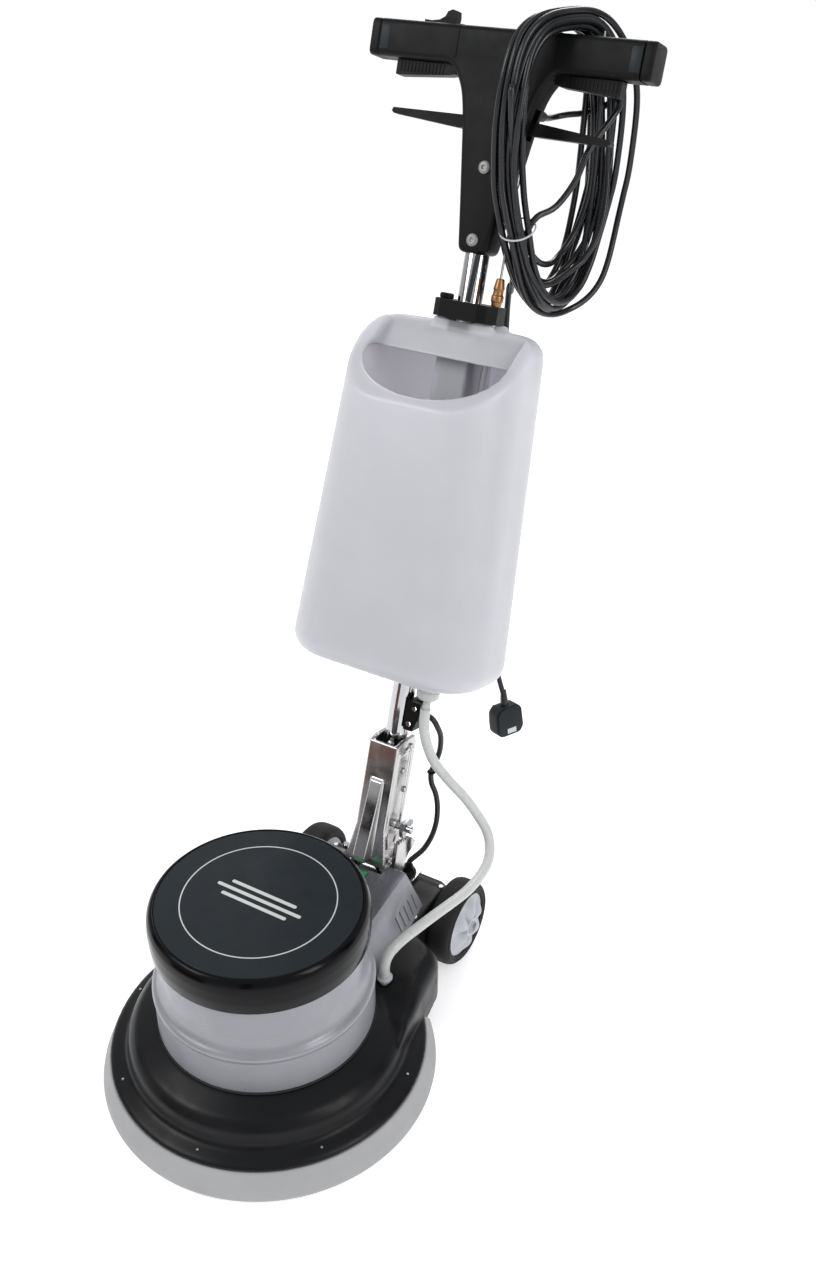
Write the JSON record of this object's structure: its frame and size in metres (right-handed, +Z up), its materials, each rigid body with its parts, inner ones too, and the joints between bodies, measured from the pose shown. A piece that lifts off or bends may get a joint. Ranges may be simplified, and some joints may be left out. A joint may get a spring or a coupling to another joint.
{
  "type": "single-disc floor machine",
  "caption": "Upright single-disc floor scrubber and polisher with round motor, rear wheels, tilting pole, solution tank, T-handle and mains cord.",
  "frame": {"origin": "centre of the floor pad's underside, on the floor", "axes": "+Z up, +Y towards the wheels and the pole (the operator's side), +X to the right seen from the front"},
  "size_m": [0.442, 0.9221, 1.225],
  "materials": {
    "deck_plastic": "moulded black, satin",
    "black_plastic": "moulded black, fine grain",
    "gloss_black": "gloss",
    "slate_plastic": "matt slate grey",
    "grey_paint": "satin grey paint",
    "bumper_rubber": "light grey, non-marking",
    "black_rubber": "black",
    "tyre_rubber": "black, smooth",
    "light_plastic": "light grey",
    "polished_aluminium": "polished casting",
    "chrome": "polished",
    "steel": "machined",
    "winding": "enamelled copper windings on laminations",
    "brass": "machined",
    "tank_plastic": "natural white, translucent",
    "hose_plastic": "translucent",
    "pad_fibre": "non-woven fibre"
  },
  "bodies": {
    "base": {"deck_housing": "deck_plastic", "bumper_ring": "bumper_rubber", "motor_gasket": "black_rubber", "motor_housing": "grey_paint", "motor_cap": "gloss_black", "cap_plate": "slate_plastic", "stator": "winding", "upper_bearing": "chrome", "lower_bearing": "chrome", "gearbox_housing": "steel", "rear_cover": "grey_paint", "start_capacitor": "slate_plastic", "terminal_block": "light_plastic", "hinge_base": "polished_aluminium", "base_cable_gland": "black_plastic", "hose_inlet": "light_plastic", "wheel_axle": "steel", "motor_cable": "black_rubber", "solution_hose": "hose_plastic"},
    "rotor": {"rotor_shaft": "steel", "cooling_fan": "black_plastic"},
    "disc": {"planet_carrier": "steel", "pad_driver": "black_plastic", "floor_pad": "pad_fibre"},
    "planet_1": {"planet_gear_1": "steel"},
    "planet_2": {"planet_gear_2": "steel"},
    "planet_3": {"planet_gear_3": "steel"},
    "wheel_left": {"tyre_left": "tyre_rubber", "wheel_hub_left": "light_plastic"},
    "wheel_right": {"tyre_right": "tyre_rubber", "wheel_hub_right": "light_plastic"},
    "handle": {"pole_bracket": "polished_aluminium", "hinge_pin": "chrome", "pole_tube": "chrome", "tank_bracket": "black_plastic", "connector_box": "black_plastic", "tank_body": "tank_plastic", "tank_collar": "black_plastic", "water_valve": "light_plastic", "brass_ferrule": "brass", "handle_front_shell": "black_plastic", "handle_rear_shell": "black_plastic", "power_switch": "slate_plastic", "grip_cap_left": "black_plastic", "grip_cap_right": "black_plastic", "handle_bolt_lower": "steel", "handle_bolt_upper": "steel", "mains_gland": "black_rubber", "mains_cord_feed": "black_rubber", "mains_cord_coil": "black_rubber", "mains_cord_drop": "black_rubber", "mains_plug": "black_plastic"},
    "pawl": {"tilt_pawl": "steel"},
    "tilt_grip": {"tilt_lever": "black_plastic"},
    "water_grip": {"water_lever": "black_plastic"},
    "valve_rod": {"valve_cable": "steel"},
    "trigger_l": {"trigger_left": "black_plastic"},
    "trigger_r": {"trigger_right": "black_plastic"},
    "safety": {"safety_lever": "black_plastic"}
  },
  "joints": [
    {"name": "disc_spin", "type": "hinge", "parent": "base", "child": "disc", "pos_m": [0, 0, 0], "axis": [0, 0, 1], "continuous": true},
    {"name": "rotor_spin", "type": "hinge", "parent": "base", "child": "rotor", "pos_m": [0, 0, 0], "axis": [0, 0, 1], "continuous": true},
    {"name": "planet_1_spin", "type": "hinge", "parent": "disc", "child": "planet_1", "pos_m": [0.0396, 0, 0], "axis": [0, 0, 1], "continuous": true},
    {"name": "planet_2_spin", "type": "hinge", "parent": "disc", "child": "planet_2", "pos_m": [-0.0198, 0.03429, 0], "axis": [0, 0, 1], "continuous": true},
    {"name": "planet_3_spin", "type": "hinge", "parent": "disc", "child": "planet_3", "pos_m": [-0.0198, -0.03429, 0], "axis": [0, 0, 1], "continuous": true},
    {"name": "wheel_left_spin", "type": "hinge", "parent": "base", "child": "wheel_left", "pos_m": [-0.12, 0.294, 0.063], "axis": [1, 0, 0], "continuous": true},
    {"name": "wheel_right_spin", "type": "hinge", "parent": "base", "child": "wheel_right", "pos_m": [0.12, 0.294, 0.063], "axis": [1, 0, 0], "continuous": true},
    {"name": "handle_tilt", "type": "hinge", "parent": "base", "child": "handle", "pos_m": [0, 0.26677, 0.13282], "axis": [-1, 0, 0], "range_deg": [-8, 30], "deforming": ["motor_cable", "solution_hose"]},
    {"name": "tilt_lever_squeeze", "type": "hinge", "parent": "handle", "child": "tilt_grip", "pos_m": [-0.038, 0.58616, 1.09099], "axis": [0, 0.9487, -0.3162], "range_deg": [0, 12], "stiffness_Nm_per_rad": 1.5, "springref_deg": -5.73},
    {"name": "pawl_lift", "type": "hinge", "parent": "handle", "child": "pawl", "pos_m": [0, 0.29081, 0.20492], "axis": [1, 0, 0], "range_deg": [0, 12]},
    {"name": "water_lever_squeeze", "type": "hinge", "parent": "handle", "child": "water_grip", "pos_m": [0.038, 0.58616, 1.09099], "axis": [0, -0.9487, 0.3162], "range_deg": [0, 12], "stiffness_Nm_per_rad": 1.5, "springref_deg": -5.73},
    {"name": "valve_rod_slide", "type": "slide", "parent": "handle", "child": "valve_rod", "axis": [0, 0.3162, 0.9487], "range_m": [0, 0.004]},
    {"name": "trigger_left_squeeze", "type": "hinge", "parent": "handle", "child": "trigger_l", "pos_m": [-0.07, 0.6064, 1.1517], "axis": [0, 0.9487, -0.3162], "range_deg": [0, 5], "stiffness_Nm_per_rad": 2, "springref_deg": -5.73},
    {"name": "trigger_right_squeeze", "type": "hinge", "parent": "handle", "child": "trigger_r", "pos_m": [0.07, 0.6064, 1.1517], "axis": [0, -0.9487, 0.3162], "range_deg": [0, 5], "stiffness_Nm_per_rad": 2, "springref_deg": -5.73},
    {"name": "safety_lever_press", "type": "hinge", "parent": "handle", "child": "safety", "pos_m": [-0.087, 0.61778, 1.18585], "axis": [0, 0.9487, -0.3162], "range_deg": [0, 10], "stiffness_Nm_per_rad": 0.3, "springref_deg": -5.73}
  ],
  "couplings": [
    {"joint": "rotor_spin", "follows": "disc_spin", "ratio": 8},
    {"joint": "planet_1_spin", "follows": "disc_spin", "ratio": -2.3333},
    {"joint": "planet_2_spin", "follows": "disc_spin", "ratio": -2.3333},
    {"joint": "planet_3_spin", "follows": "disc_spin", "ratio": -2.3333},
    {"joint": "pawl_lift", "follows": "tilt_lever_squeeze", "ratio": 1},
    {"joint": "valve_rod_slide", "follows": "water_lever_squeeze", "m_per_rad": 0.019}
  ]
}
